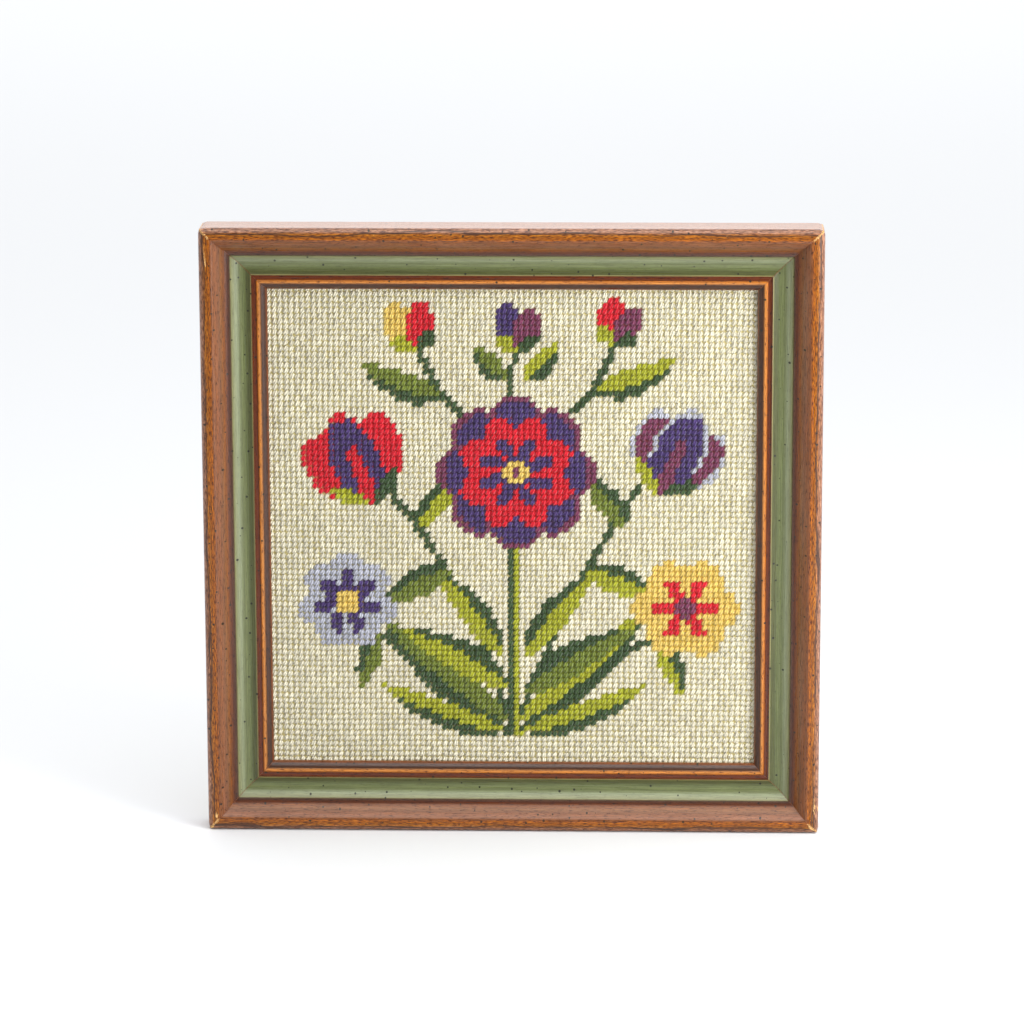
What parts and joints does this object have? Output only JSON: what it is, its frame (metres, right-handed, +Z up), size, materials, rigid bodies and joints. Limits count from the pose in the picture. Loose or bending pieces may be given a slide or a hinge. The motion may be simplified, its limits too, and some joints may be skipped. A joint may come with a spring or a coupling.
{
  "type": "needlepoint canvas panel in a picture frame",
  "caption": "Square canvas worked all over in tent stitch, held behind the lip of a mitred scoop-moulding picture frame.",
  "frame": {"origin": "middle of the underside of the frame, half way between its crest and its flat back", "axes": "+Z up, the stitched face looks along -Y, +X to the right as seen from the front"},
  "size_m": [0.281, 0.019, 0.281],
  "materials": {
    "needlepoint_wool": "matte wool tent stitch",
    "stained_moulding": "satin brown stain with a green painted cove, rubbed at the edges"
  },
  "bodies": {
    "root": {"needlepoint_panel": "needlepoint_wool", "bottom_rail": "stained_moulding", "right_rail": "stained_moulding", "top_rail": "stained_moulding", "left_rail": "stained_moulding"}
  },
  "joints": []
}
